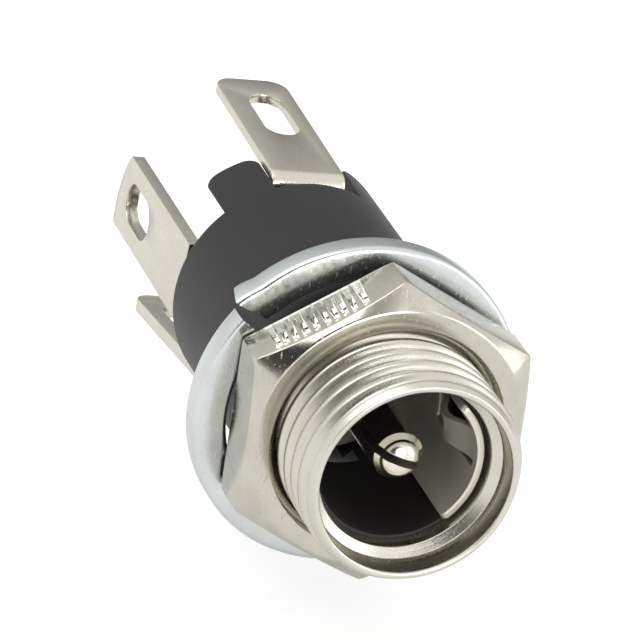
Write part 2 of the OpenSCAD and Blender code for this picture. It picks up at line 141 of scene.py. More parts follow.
def arc(cx: float, cy: float, radius: float, start: float, stop: float, steps: int) -> list[Point2]:
    """Give points along a circular arc.

    Args:
        cx: The centre's first coordinate.
        cy: Its second coordinate.
        radius: The arc's radius.
        start: Angle in degrees of the first point.
        stop: Angle in degrees of the last point.
        steps: Number of segments.

    Returns:
        The points, both ends included.
    """
    angles = (math.radians(start + (stop - start) * i / steps) for i in range(steps + 1))
    return [(cx + radius * math.cos(a), cy + radius * math.sin(a)) for a in angles]


def obround(cx: float, cy: float, width: float, length: float) -> list[Point2]:
    """Give the outline of a round-ended hole that is long in its second coordinate.

    Args:
        cx: The middle's first coordinate.
        cy: Its second coordinate.
        width: The hole's width.
        length: Its whole length.

    Returns:
        The outline's points.
    """
    r = width / 2
    reach = (length - width) / 2
    return arc(cx, cy + reach, r, 0, 180, 16) + arc(cx, cy - reach, r, 180, 360, 16)


def spread(start: float, stop: float, count: int) -> list[float]:
    """Give evenly spaced numbers, both ends included."""
    return [start + (stop - start) * i / (count - 1) for i in range(count)]


def shade_smooth(mesh: bpy.types.Mesh, sharp: float) -> None:
    """Shade a mesh smooth apart from its sharp edges.

    Args:
        mesh: The mesh.
        sharp: Angle in degrees above which an edge stays sharp.
    """
    for polygon in mesh.polygons:
        polygon.use_smooth = True
    mesh.set_sharp_from_angle(angle=math.radians(sharp))


def new_object(name: str, mesh: bpy.types.Mesh, sharp: float = 35.0) -> bpy.types.Object:
    """Make an object of a mesh, smooth apart from edges sharper than an angle.

    Args:
        name: The object's name.
        mesh: Its mesh.
        sharp: Angle in degrees above which an edge stays sharp.

    Returns:
        The new object, linked to the scene.
    """
    shade_smooth(mesh, sharp)
    obj = bpy.data.objects.new(name, mesh)
    bpy.context.scene.collection.objects.link(obj)
    return obj


def mesh_from_grid(
    name: str,
    columns: int,
    rows: int,
    point: Callable[[int, int], Vector],
    wrap: bool = True,
    closed_rows: bool = True,
) -> bpy.types.Mesh:
    """Make a mesh of quads over a grid of points.

    Args:
        name: The mesh's name.
        columns: Number of points round the piece.
        rows: Number of points along the section.
        point: Gives the place of (column, row).
        wrap: Whether the last column joins the first; if not, both ends are capped.
        closed_rows: Whether the last row joins the first.

    Returns:
        The mesh, with its faces turned outwards.
    """
    verts = [point(c, r) for c in range(columns) for r in range(rows)]
    last_column = columns if wrap else columns - 1
    last_row = rows if closed_rows else rows - 1
    faces: list[tuple[int, ...]] = []
    for c in range(last_column):
        d = (c + 1) % columns
        for r in range(last_row):
            s = (r + 1) % rows
            faces.append((c * rows + r, d * rows + r, d * rows + s, c * rows + s))
    if not wrap:
        faces.append(tuple(range(rows)))
        faces.append(tuple((columns - 1) * rows + r for r in reversed(range(rows))))
    mesh = bpy.data.meshes.new(name)
    mesh.from_pydata(verts, [], faces)
    work = bmesh.new()
    work.from_mesh(mesh)
    bmesh.ops.recalc_face_normals(work, faces=work.faces)
    work.to_mesh(mesh)
    work.free()
    return mesh


def turned(name: str, profile: Sequence[Point2], columns: int = 192) -> bpy.types.Mesh:
    """Turn a closed profile round the axis.

    Args:
        name: The mesh's name.
        profile: The profile's points as (radius, z).
        columns: Number of points round the axis.

    Returns:
        The turned mesh.
    """

    def point(column: int, row: int) -> Vector:
        """Give a point of the turned surface."""
        radius, z = profile[row]
        return stand(*polar(radius, 360.0 * column / columns, z))

    return mesh_from_grid(name, columns, len(profile), point)


def carve(obj: bpy.types.Object, low: Point3, high: Point3, turn: float = 0.0) -> None:
    """Cut an upright box out of an object.

    Args:
        obj: The object to cut.
        low: The box's lowest upright corner.
        high: Its highest upright corner.
        turn: Angle in degrees by which the box is turned about the axis.
    """
    work = bmesh.new()
    bmesh.ops.create_cube(work, size=1.0)
    spin = math.radians(turn)
    for v in work.verts:
        x, y, z = ((near + far) / 2 + c * (far - near) for near, far, c in zip(low, high, v.co))
        v.co = stand(x * math.cos(spin) - y * math.sin(spin), x * math.sin(spin) + y * math.cos(spin), z)
    bmesh.ops.recalc_face_normals(work, faces=work.faces)
    mesh = bpy.data.meshes.new("cutter")
    work.to_mesh(mesh)
    work.free()
    cutter = bpy.data.objects.new("cutter", mesh)
    bpy.context.scene.collection.objects.link(cutter)
    cut = obj.modifiers.new("cut", "BOOLEAN")
    cut.operation = "DIFFERENCE"
    cut.solver = "EXACT"
    cut.object = cutter
    apply_modifiers(obj)
    bpy.data.objects.remove(cutter)


def apply_modifiers(obj: bpy.types.Object, sharp: float = 35.0) -> None:
    """Turn an object's modifiers into mesh and set its sharp edges again.

    Args:
        obj: The object, which loses its modifiers.
        sharp: Angle in degrees above which an edge stays sharp.
    """
    graph = bpy.context.evaluated_depsgraph_get()
    mesh = bpy.data.meshes.new_from_object(obj.evaluated_get(graph))
    obj.modifiers.clear()
    obj.data = mesh
    shade_smooth(mesh, sharp)


def soften(obj: bpy.types.Object, width: float, sharp: float = 40.0) -> None:
    """Round an object's sharp edges.

    Args:
        obj: The object.
        width: Width of the rounding, in millimetres.
        sharp: Angle in degrees above which an edge is rounded.
    """
    bevel = obj.modifiers.new("edge", "BEVEL")
    bevel.width = width * MM
    bevel.segments = 2
    bevel.limit_method = "ANGLE"
    bevel.angle_limit = math.radians(sharp)
    apply_modifiers(obj)


@dataclass
class SheetBlank:
    """A flat sheet-metal blank that is cut out, then formed point by point.

    Attributes:
        outline: The blank's outline in its own plane, in millimetres.
        thickness: Sheet thickness.
        holes: Outlines of its holes.
        edge: Rounding of the cut edges.
    """

    outline: list[Point2]
    thickness: float
    holes: list[list[Point2]] = field(default_factory=list)
    edge: float = 0.05

    def mesh(
        self,
        name: str,
        form: Callable[[float, float, float], Point3],
        cuts_u: Sequence[float] = (),
        cuts_v: Sequence[float] = (),
    ) -> bpy.types.Mesh:
        """Cut the blank out and form it.

        Args:
            name: The mesh's name.
            form: Maps (u, v, height over the sheet's middle) to an upright point.
            cuts_u: Places in u at which the flat sheet is divided before forming.
            cuts_v: Places in v at which it is divided.

        Returns:
            The formed mesh.
        """
        curve = bpy.data.curves.new(name, "CURVE")
        curve.dimensions = "2D"
        curve.fill_mode = "BOTH"
        curve.extrude = self.thickness / 2 - self.edge
        curve.bevel_depth = self.edge
        curve.bevel_resolution = 1
        curve.offset = -self.edge
        for loop in [self.outline, *self.holes]:
            spline = curve.splines.new("POLY")
            spline.points.add(len(loop) - 1)
            for p, (u, v) in zip(spline.points, loop):
                p.co = (u, v, 0.0, 1.0)
            spline.use_cyclic_u = True
        source = bpy.data.objects.new(name, curve)
        bpy.context.scene.collection.objects.link(source)
        graph = bpy.context.evaluated_depsgraph_get()
        mesh = bpy.data.meshes.new_from_object(source.evaluated_get(graph))
        bpy.data.objects.remove(source)
        work = bmesh.new()
        work.from_mesh(mesh)
        bmesh.ops.remove_doubles(work, verts=work.verts, dist=1e-5)
        for axis, places in ((Vector((1, 0, 0)), cuts_u), (Vector((0, 1, 0)), cuts_v)):
            for place in places:
                parts = work.verts[:] + work.edges[:] + work.faces[:]
                bmesh.ops.bisect_plane(work, geom=parts, plane_co=axis * place, plane_no=axis, dist=1e-5)
        for v in work.verts:
            v.co = stand(*form(*v.co))
        bmesh.ops.recalc_face_normals(work, faces=work.faces)
        work.to_mesh(mesh)
        work.free()
        return mesh


# --------------------------------------------------------------------------- shader groups


class Effect(Enum):
    """The shared surface effects, by the name of their shader group."""

    SCUFFS = "handling_scuffs"
    LATHE = "lathe_marks"
    GRAIN = "rolled_grain"
    MOULD = "mould_texture"


def group_socket(
    tree: Tree, name: str, kind: str, way: str, default: float | None = None
) -> None:
    """Add a named socket to a group's outside.

    Args:
        tree: The group.
        name: The socket's name.
        kind: Blender's name of the socket's type.
        way: INPUT or OUTPUT.
        default: The value that it has while nothing is linked to it.
    """
    socket = tree.interface.new_socket(name=name, in_out=way, socket_type=kind)
    if default is not None:
        socket.default_value = default


def link(tree: Tree, source: Socket, target: Socket) -> None:
    """Join two sockets."""
    tree.links.new(source, target)


def maths(tree: Tree, operation: str, a: object, b: object = None) -> Socket:
    """Add a Math node; numbers are set on it and sockets are linked to it.

    Args:
        tree: The node tree.
        operation: Blender's name of the operation.
        a: First number or socket.
        b: Second number or socket.

    Returns:
        The node's result.
    """
    node = tree.nodes.new("ShaderNodeMath")
    node.operation = operation
    for i, value in enumerate((a, b)):
        if isinstance(value, Socket):
            link(tree, value, node.inputs[i])
        elif value is not None:
            node.inputs[i].default_value = value
    return node.outputs[0]


def scaled(tree: Tree, value: Socket, by: float) -> Socket:
    """Multiply a socket's value by a number."""
    return maths(tree, "MULTIPLY", value, by)


def in_millimetres(tree: Tree) -> Socket:
    """Give the object coordinates in millimetres.

    Args:
        tree: The node tree.

    Returns:
        The coordinates, as a vector.
    """
    place = tree.nodes.new("ShaderNodeTexCoord")
    scale = tree.nodes.new("ShaderNodeVectorMath")
    scale.operation = "SCALE"
    scale.inputs["Scale"].default_value = 1.0 / MM
    link(tree, place.outputs["Object"], scale.inputs[0])
    return scale.outputs[0]


def noise(
    tree: Tree,
    vector: Socket,
    scale: float,
    detail: float = 3.0,
    stretch: Point3 = (1, 1, 1),
    roughness: float = 0.5,
) -> Socket:
    """Add a noise texture over stretched coordinates.

    Args:
        tree: The node tree.
        vector: The coordinates.
        scale: Features in a millimetre, about.
        detail: Octaves of finer noise.
        stretch: Factors on the three coordinates.
        roughness: Share that each finer octave keeps.

    Returns:
        The noise's value.
    """
    shaped = tree.nodes.new("ShaderNodeVectorMath")
    shaped.operation = "MULTIPLY"
    shaped.inputs[1].default_value = stretch
    link(tree, vector, shaped.inputs[0])
    node = tree.nodes.new("ShaderNodeTexNoise")
    node.inputs["Scale"].default_value = scale
    node.inputs["Detail"].default_value = detail
    node.inputs["Roughness"].default_value = roughness
    link(tree, shaped.outputs[0], node.inputs["Vector"])
    return node.outputs["Fac"]


def ranged(
    tree: Tree,
    value: Socket,
    low: float,
    high: float,
    to_low: float,
    to_high: float,
) -> Socket:
    """Map a value from one range to another, clamped.

    Args:
        tree: The node tree.
        value: The value.
        low: Start of its own range.
        high: End of its own range.
        to_low: What the start becomes.
        to_high: What the end becomes.

    Returns:
        The mapped value.
    """
    node = tree.nodes.new("ShaderNodeMapRange")
    for name, number in zip(("From Min", "From Max", "To Min", "To Max"), (low, high, to_low, to_high)):
        node.inputs[name].default_value = number
    link(tree, value, node.inputs["Value"])
    return node.outputs["Result"]


class EffectLibrary:
    """Builds each shared shader group once and hands it out."""

    def __init__(self) -> None:
        """Start with no group built."""
        self._built: dict[Effect, Tree] = {}

    def get(self, effect: Effect) -> Tree:
        """Give an effect's group, building it the first time.

        Args:
            effect: The effect wanted.

        Returns:
            Its node group, with outputs Tone, Roughness and Height.
        """
        if effect not in self._built:
            tree = bpy.data.node_groups.new(effect.value, "ShaderNodeTree")
            group_socket(tree, "Vector", "NodeSocketVector", "INPUT")
            group_socket(tree, "Amount", "NodeSocketFloat", "INPUT", 1.0)
            for name in ("Tone", "Roughness", "Height"):
                group_socket(tree, name, "NodeSocketFloat", "OUTPUT")
            inside = tree.nodes.new("NodeGroupInput")
            outside = tree.nodes.new("NodeGroupOutput")
            makers = {
                Effect.SCUFFS: self._scuffs,
                Effect.LATHE: self._lathe,
                Effect.GRAIN: self._grain,
                Effect.MOULD: self._mould,
            }
            values = makers[effect](tree, inside.outputs["Vector"])
            for socket, value in zip(outside.inputs, values):
                link(tree, maths(tree, "MULTIPLY", value, inside.outputs["Amount"]), socket)
            self._built[effect] = tree
        return self._built[effect]

    def _scuffs(self, tree: Tree, v: Socket) -> tuple[Socket, ...]:
        """Soft blotches and fine scratches from handling.

        Args:
            tree: The effect's group.
            v: Coordinates in millimetres.

        Returns:
            Its tone, roughness and height.
        """
        blotch = noise(tree, v, 0.55, 4.0)
        fine = noise(tree, v, 7.0, 4.0, (1.0, 0.25, 1.0))
        scratch = ranged(tree, noise(tree, v, 2.2, 6.0, (3.0, 0.5, 1.0), 0.75), 0.60, 0.72, 0.0, 1.0)
        tone = maths(tree, "SUBTRACT", scaled(tree, blotch, 0.6), scaled(tree, scratch, 0.35))
        rough = maths(tree, "ADD", scaled(tree, fine, 0.5), scaled(tree, scratch, 0.8))
        height = maths(tree, "SUBTRACT", scaled(tree, fine, 0.35), scratch)
        return tone, rough, height

    def _lathe(self, tree: Tree, v: Socket) -> tuple[Socket, ...]:
        """Fine rings left by the turning tool, along the axis and across faces.

        Args:
            tree: The effect's group.
            v: Coordinates in millimetres.

        Returns:
            Its tone, roughness and height.
        """
        parts = tree.nodes.new("ShaderNodeSeparateXYZ")
        link(tree, v, parts.inputs[0])
        x, z = parts.outputs["X"], parts.outputs["Z"]
        squares = maths(tree, "ADD", maths(tree, "MULTIPLY", x, x), maths(tree, "MULTIPLY", z, z))
        reach = maths(tree, "SQRT", squares)
        along = tree.nodes.new("ShaderNodeCombineXYZ")
        link(tree, reach, along.inputs["X"])
        link(tree, parts.outputs["Y"], along.inputs["Y"])
        rings = noise(tree, along.outputs[0], 9.0, 5.0, roughness=0.7)
        broad = noise(tree, along.outputs[0], 1.6, 2.0)
        patch = noise(tree, v, 0.4, 3.0)
        tone = maths(tree, "ADD", scaled(tree, rings, 0.45), scaled(tree, patch, 0.4))
        rough = maths(tree, "ADD", scaled(tree, rings, 0.7), scaled(tree, broad, 0.4))
        return tone, rough, rings

    def _grain(self, tree: Tree, v: Socket) -> tuple[Socket, ...]:
        """Long faint lines left by rolling, with a few spots.

        Args:
            tree: The effect's group.
            v: Coordinates in millimetres.

        Returns:
            Its tone, roughness and height.
        """
        lines = noise(tree, v, 3.2, 4.0, (4.0, 0.12, 4.0), 0.6)
        cloud = noise(tree, v, 0.35, 3.0)
        spots = ranged(tree, noise(tree, v, 4.5, 2.0), 0.66, 0.74, 0.0, 1.0)
        tone = maths(tree, "SUBTRACT", scaled(tree, cloud, 0.7), scaled(tree, spots, 0.35))
        rough = maths(tree, "ADD", scaled(tree, lines, 0.6), scaled(tree, spots, 0.5))
        return tone, rough, lines

    def _mould(self, tree: Tree, v: Socket) -> tuple[Socket, ...]:
        """Fine spark-eroded mould texture with a soft cloudiness.

        Args:
            tree: The effect's group.
            v: Coordinates in millimetres.

        Returns:
            Its tone, roughness and height.
        """
        pits = noise(tree, v, 11.0, 3.0, roughness=0.65)
        cloud = noise(tree, v, 0.3, 3.0, (1.0, 0.6, 1.0))
        dust = ranged(tree, noise(tree, v, 3.1, 4.0), 0.66, 0.78, 0.0, 1.0)
        tone = maths(tree, "ADD", scaled(tree, cloud, 0.75), scaled(tree, dust, 0.5))
        rough = maths(tree, "ADD", scaled(tree, cloud, 0.5), scaled(tree, pits, 0.4))
        return tone, rough, pits


# --------------------------------------------------------------------------- finishes


# Summed tone and roughness of the effects that stand for a finish's low and high ends
TONE_RANGE = (0.05, 0.65)
ROUGH_RANGE = (0.15, 0.85)


@dataclass(frozen=True)
class Finish:
    """One finish, shaded with a Principled BSDF and one or two shared effects.

    Attributes:
        name: The material's name.
        dark: Colour where the effect's tone is low.
        light: Colour where it is high.
        metallic: 1 for bare metal, 0 for plastic.
        rough: Lowest and highest roughness.
        effects: Each effect with its amount.
        bump: Depth of the effects' relief, in millimetres.
        specular: The shader's specular level.
    """

    name: str
    dark: Colour
    light: Colour
    metallic: float
    rough: tuple[float, float]
    effects: tuple[tuple[Effect, float], ...]
    bump: float
    specular: float = 0.5

    def build(self, library: EffectLibrary) -> bpy.types.Material:
        """Make the material.

        Args:
            library: Where the shared groups come from.

        Returns:
            The new material.
        """
        material = bpy.data.materials.new(self.name)
        material.use_nodes = True
        tree = material.node_tree
        shader = tree.nodes["Principled BSDF"]
        shader.inputs["Metallic"].default_value = self.metallic
        shader.inputs["Specular IOR Level"].default_value = self.specular
        vector = in_millimetres(tree)
        sums: dict[str, Socket] = {}
        for effect, amount in self.effects:
            node = tree.nodes.new("ShaderNodeGroup")
            node.node_tree = library.get(effect)
            node.inputs["Amount"].default_value = amount
            link(tree, vector, node.inputs["Vector"])
            for key in ("Tone", "Roughness", "Height"):
                value = node.outputs[key]
                sums[key] = maths(tree, "ADD", sums[key], value) if key in sums else value
        tone = ranged(tree, sums["Tone"], *TONE_RANGE, 0.0, 1.0)
        rough = ranged(tree, sums["Roughness"], *ROUGH_RANGE, *self.rough)
        mix = tree.nodes.new("ShaderNodeMix")
        mix.data_type = "RGBA"
        mix.inputs["A"].default_value = (*self.dark, 1.0)
        mix.inputs["B"].default_value = (*self.light, 1.0)
        link(tree, tone, mix.inputs["Factor"])
        link(tree, mix.outputs["Result"], shader.inputs["Base Color"])
        link(tree, rough, shader.inputs["Roughness"])
        bump = tree.nodes.new("ShaderNodeBump")
        bump.inputs["Distance"].default_value = self.bump * MM
        bump.inputs["Strength"].default_value = 1.0
        link(tree, sums["Height"], bump.inputs["Height"])
        link(tree, bump.outputs["Normal"], shader.inputs["Normal"])
        return material


NICKEL = Finish(
    name="bright_nickel",
    dark=(0.50, 0.48, 0.42),
    light=(0.70, 0.68, 0.60),
    metallic=1.0,
    rough=(0.16, 0.38),
    effects=((Effect.LATHE, 0.8), (Effect.SCUFFS, 0.4)),
    bump=0.004,
)
NUT_NICKEL = Finish(
    name="scuffed_nickel",
    dark=(0.48, 0.46, 0.40),
    light=(0.70, 0.67, 0.58),
    metallic=1.0,
    rough=(0.14, 0.38),
    effects=((Effect.SCUFFS, 1.0),),
    bump=0.006,
)
ZINC = Finish(
    name="bright_zinc",
    dark=(0.56, 0.59, 0.59),
    light=(0.72, 0.76, 0.75),
    metallic=1.0,
    rough=(0.16, 0.40),
    effects=((Effect.SCUFFS, 0.9), (Effect.LATHE, 0.25)),
    bump=0.006,
)
LUG_TIN = Finish(
    name="tinned_sheet",
    dark=(0.60, 0.57, 0.49),
    light=(0.74, 0.71, 0.62),
    metallic=1.0,
    rough=(0.24, 0.42),
    effects=((Effect.GRAIN, 1.0),),
    bump=0.002,
)
SPRING_SHEET = Finish(
    name="plated_spring_sheet",
    dark=(0.58, 0.56, 0.48),
    light=(0.80, 0.77, 0.68),
    metallic=0.55,
    rough=(0.26, 0.46),
    effects=((Effect.GRAIN, 0.8), (Effect.SCUFFS, 0.3)),
    bump=0.003,
)
PIN_NICKEL = Finish(
    name="pin_nickel",
    dark=(0.70, 0.67, 0.58),
    light=(0.84, 0.81, 0.73),
    metallic=1.0,
    rough=(0.12, 0.28),
    effects=((Effect.LATHE, 1.0),),
    bump=0.003,
)
BODY_BLACK = Finish(
    name="matt_black_moulding",
    dark=(0.012, 0.011, 0.011),
    light=(0.026, 0.024, 0.024),
    metallic=0.0,
    rough=(0.38, 0.62),
    effects=((Effect.MOULD, 1.0),),
    bump=0.006,
    specular=0.35,
)
BOARD_BLACK = Finish(
    name="board_moulding",
    dark=(0.030, 0.027, 0.025),
    light=(0.060, 0.055, 0.050),
    metallic=0.0,
    rough=(0.45, 0.7),
    effects=((Effect.MOULD, 1.0),),
    bump=0.006,
)


class Materials:
    """Builds each finish once."""

    def __init__(self) -> None:
        """Start with an empty shelf and the shared effects."""
        self._library = EffectLibrary()
        self._made: dict[str, bpy.types.Material] = {}

    def get(self, finish: Finish) -> bpy.types.Material:
        """Give a finish's material, building it the first time.

        Args:
            finish: The finish wanted.

        Returns:
            Its material.
        """
        if finish.name not in self._made:
            self._made[finish.name] = finish.build(self._library)
        return self._made[finish.name]


# --------------------------------------------------------------------------- pieces


@dataclass
class Piece:
    """Something of the jack: builds its own object and hands it to the frame.

    Attributes:
        node: The frame's node that the piece stands for.
        slot: The record's material slot; not used.
        finish: Its finish.
    """

    node: str
    slot: str
    finish: Finish

    def build(self) -> bpy.types.Object:
        """Make the piece's object, in the frame.

        Returns:
            The object, in the frame.
        """
        raise NotImplementedError

    def install(self, materials: Materials) -> bpy.types.Object:
        """Build, dress and seat the piece.

        Args:
            materials: Where the finished materials come from.

        Returns:
            The piece's object.
        """
        obj = self.build()
        obj.data.materials.clear()
        obj.data.materials.append(materials.get(self.finish))
        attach(obj, "root")
        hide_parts(self.node)
        log.info("%s: %d faces", obj.name, len(obj.data.polygons))
        return obj


@dataclass
class Bushing(Piece):
    """The turned and threaded bushing.

    Attributes:
        mouth_depth: Depth of the wide mouth in front of the lip.
        rim_r: Radius of the front face, where the lead chamfer begins.
        lead_len: Length of the lead chamfer.
        start: Angle in degrees by which the thread's start is turned.
        crest_share: Share of the half pitch that stays at the crest.
        flank_share: Share over which the groove deepens.
        top_fade: Plain length and fading length at the thread's front.
        foot_fade: The same at its foot.
        lip_taper: Length of the slope from the lip to the mouth.
        foot_z: Height of the thread's last row.
        foot_step: How far the foot draws in behind the thread.
        lead_rows: Number of rows over the lead chamfer.
        thread_rows: Number of rows over the thread.
    """

    node: str = "threaded_bushing"
    slot: str = "nickel_plate"
    finish: Finish = NICKEL
    length: float = 7.5
    crest_r: float = 5.49
    mouth_r: float = 4.8
    mouth_depth: float = 1.4
    lip_r: float = 4.3
    lip_len: float = 1.1
    bore_r: float = 4.5
    rim_r: float = 5.1
    lead_len: float = 0.7
    pitch: float = 1.12
    depth: float = 0.5
    start: float = 40.0
    crest_share: float = 0.18
    flank_share: float = 0.74
    top_fade: tuple[float, float] = (0.30, 0.5)
    foot_fade: tuple[float, float] = (0.15, 0.6)
    lip_taper: float = 0.3
    foot_z: float = 0.2
    foot_step: float = 0.25
    lead_rows: int = 10
    thread_rows: int = 110
    columns: int = 288

    def thread(self, degrees: float, z: float) -> float:
        """Give how deep the thread lies under the crest.

        Args:
            degrees: Angle round the axis.
            z: Height along it.

        Returns:
            The depth in millimetres.
        """
        phase = ((z - self.length) / self.pitch + (degrees + self.start) / 360.0) % 1.0
        wave = abs(phase - 0.5) * 2.0
        groove = smooth((wave - self.crest_share) / self.flank_share)
        top = smooth((self.length - self.top_fade[0] - z) / self.top_fade[1])
        foot = smooth((z - self.foot_fade[0]) / self.foot_fade[1])
        return self.depth * groove * top * foot

    def build(self) -> bpy.types.Object:
        """Turn the bushing with its thread.

        Returns:
            The object, in the frame.
        """
        top = self.length
        chamfer_end = top - self.lead_len
        inner = filleted(
            [
                (self.bore_r, 0.0, 0.0),
                (self.bore_r, top - self.mouth_depth - self.lip_len, 0.0),
                (self.lip_r, top - self.mouth_depth - self.lip_len, 0.05),
                (self.lip_r, top - self.mouth_depth - self.lip_taper, 0.1),
                (self.mouth_r, top - self.mouth_depth, 0.12),
                (self.mouth_r, top, 0.16),
                (self.rim_r, top, 0.12),
                (self.crest_r, chamfer_end, 0.0),
            ],
            closed=False,
        )
        # Each row is a radius, a height and whether the thread cuts it
        rows = [(r, z, False) for r, z in inner[:-1]]
        rim_r, rim_z = inner[-2]
        for z in spread(top, chamfer_end, self.lead_rows)[1:-1]:
            if z < rim_z - 0.02:
                share = (rim_z - z) / (rim_z - chamfer_end)
                rows.append((rim_r + (self.crest_r - rim_r) * share, z, True))
        rows += [(self.crest_r, z, True) for z in spread(chamfer_end, self.foot_z, self.thread_rows)]
        rows.append((self.crest_r - self.foot_step, 0.0, False))

        def point(column: int, row: int) -> Vector:
            """Give a point of the bushing's surface.

            Args:
                column: Column of the grid, counted round the piece.
                row: Row of the grid, counted along the section.

            Returns:
                The point in the frame.
            """
            degrees = 360.0 * column / self.columns
            radius, z, cut = rows[row]
            return stand(*polar(radius - (self.thread(degrees, z) if cut else 0.0), degrees, z))

        mesh = mesh_from_grid("bushing", self.columns, len(rows), point)
        return new_object("bushing", mesh, 60.0)


@dataclass
class Nut(Piece):
    """The hexagon nut with one chamfered face and chatter marks in one flat.

    Attributes:
        face_r: Radius of the flat front face, where the chamfer begins.
        slope: The chamfer's slope in degrees.
        sink: Size of the countersink at the bore.
        turn: Angle in degrees of a corner.
        edge: Rounding along the flats.
        per_side: Number of columns on each side.
        chatter: Number of chatter marks.
        chatter_step: Distance between them.
        chatter_turn: Direction in degrees of the marked flat.
        chatter_foot: Height of a mark's foot.
        chatter_high: Length of a mark.
        chatter_cut: Depth of a mark.
        chatter_w: Width of a mark's strokes.
        chatter_l: Length of its short stroke.
        jitter: Amount and rate of the marks' unevenness, for side, foot and length.
        corner_cut: How far the round corners stay inside the sharp ones.
        corner_hard: How tightly the corners are rounded.
        chamfer_dip: Least drop of the chamfer, at the middle of a flat.
    """

    node: str = "hex_nut"
    slot: str = "nut_plate"
    finish: Finish = NUT_NICKEL
    flats: float = 14.0
    height: float = 3.0
    face_r: float = 6.8
    slope: float = 29.0
    bore_r: float = 5.53
    sink: float = 0.42
    turn: float = 34.0
    edge: float = 0.12
    per_side: int = 48
    chatter: int = 12
    chatter_step: float = 0.52
    chatter_turn: float = 124.0
    chatter_foot: float = 1.25
    chatter_high: float = 0.75
    chatter_cut: float = 0.03
    chatter_w: float = 0.08
    chatter_l: float = 0.2
    jitter: tuple[Point2, Point2, Point2] = ((0.06, 5.0), (0.12, 3.1), (0.15, 2.3))
    corner_cut: float = 0.03
    corner_hard: float = 40.0
    chamfer_dip: float = 0.3

    def reach(self, degrees: float) -> float:
        """Give the distance of the nut's side from the axis, with slightly round corners.

        Args:
            degrees: Angle round the axis.

        Returns:
            The distance in millimetres.
        """
        part = (degrees - self.turn) % 60.0 - 30.0
        flat = self.flats / 2 / math.cos(math.radians(part))
        corner = self.flats / 2 / math.cos(math.radians(30.0)) - self.corner_cut
        sharp = self.corner_hard
        return -math.log(math.exp(-sharp * flat) + math.exp(-sharp * corner)) / sharp

    def build(self) -> bpy.types.Object:
        """Build the nut as a ring of sections from the bore to the flats.

        Returns:
            The object, in the frame.
        """
        columns = self.per_side * 6
        tan = math.tan(math.radians(self.slope))

        def section(degrees: float) -> list[Point2]:
            """Give the nut's section at an angle.

            Args:
                degrees: Angle round the axis.

            Returns:
                The section's points as (radius, z).
            """
            out = self.reach(degrees)
            top = self.height
            drop = math.hypot((out - self.face_r) * tan, self.chamfer_dip)
            return filleted(
                [
                    (self.bore_r, 0.0, 0.06),
                    (self.bore_r, top - self.sink, 0.05),
                    (self.bore_r + self.sink, top, 0.05),
                    (self.face_r, top, 0.25),
                    (out, top - drop, self.edge),
                    (out, 0.0, self.edge),
                ],
                steps=4,
            )

        rows = len(section(0.0))
        sections = [section(self.turn + 360.0 * c / columns) for c in range(columns)]

        def point(column: int, row: int) -> Vector:
            """Give a point of the nut's surface."""
            radius, z = sections[column][row]
            return stand(*polar(radius, self.turn + 360.0 * column / columns, z))

        obj = new_object("nut", mesh_from_grid("nut", columns, rows, point), 50.0)
        for low, high in self.chatter_strokes():
            carve(obj, low, high, self.chatter_turn)
        return obj

    def chatter_strokes(self) -> list[Box]:
        """List the boxes that cut the L-shaped marks, before they are turned to their flat.

        Returns:
            Two boxes for each mark, each as its lowest and highest corner.
        """
        inside = self.flats / 2 - self.chatter_cut
        outside = self.flats / 2 + 1
        wide = self.chatter_w
        (side_by, side_rate), (foot_by, foot_rate), (top_by, top_rate) = self.jitter
        strokes: list[Box] = []
        for i in range(self.chatter):
            side = (i - (self.chatter - 1) / 2) * self.chatter_step + side_by * math.sin(side_rate * i)
            foot = self.chatter_foot + foot_by * math.sin(foot_rate * i)
            top = foot + self.chatter_high + top_by * math.cos(top_rate * i)
            strokes.append(((inside, side, foot), (outside, side + wide, top)))
            strokes.append(((inside, side - self.chatter_l, foot), (outside, side, foot + wide)))
        return strokes


@dataclass
class Washer(Piece):
    """The split spring washer, one turn of a helix, hanging loose round the body.

    Attributes:
        rise: How far the flared end stands back from the other, along the axis.
        gap: Angle in degrees of the split.
        turn: Angle at which the flared end lies.
        lean: Direction in degrees in which the washer hangs off the axis.
        lean_by: Distance by which it hangs off.
        flare: How far that end spreads outwards.
        flare_span: Angle in degrees over which it spreads.
        flare_even: Share of the spread that the whole band takes alike.
        end_slant: Slant in degrees of the cut end.
        front: Height of the front face at the end nearest the nut.
    """

    node: str = "lock_washer"
    slot: str = "zinc_plate"
    finish: Finish = ZINC
    rim_r: float = 8.4
    band: float = 1.74
    thickness: float = 1.4
    rise: float = 0.92
    gap: float = 5.0
    turn: float = 142.0
    lean: float = 195.0
    lean_by: float = 0.40
    flare: float = 0.28
    flare_span: float = 7.0
    flare_even: float = 0.6
    end_slant: float = 1.6
    front: float = -0.12
    edge: float = 0.28
    columns: int = 361

    def build(self) -> bpy.types.Object:
        """Sweep the washer's section along its helix.

        Returns:
            The object, in the frame.
        """
        b, h = self.band / 2, self.thickness / 2
        section = filleted(
            [(b, h, self.edge), (-b, h, self.edge), (-b, -h, self.edge), (b, -h, self.edge)], steps=5
        )
        turn = 360.0 - self.gap

        def point(column: int, row: int) -> Vector:
            """Give a point of the washer's surface.

            Args:
                column: Column of the grid, counted round the piece.
                row: Row of the grid, counted along the section.

            Returns:
                The point in the frame.
            """
            share = column / (self.columns - 1)
            degrees = self.turn - turn * share
            out, up = section[row]
            end = smooth(1.0 - turn * share / self.flare_span)
            out += self.flare * end * (self.flare_even + (1 - self.flare_even) * out / b)
            degrees += self.end_slant * end * (out + up) / b
            x, y, z = polar(self.rim_r - b + out, degrees, self.front - h - self.rise * (1 - share) + up)
            a = math.radians(self.lean)
            return stand(x + self.lean_by * math.cos(a), y + self.lean_by * math.sin(a), z)

        mesh = mesh_from_grid("washer", self.columns, len(section), point, wrap=False)
        return new_object("washer", mesh, 50.0)


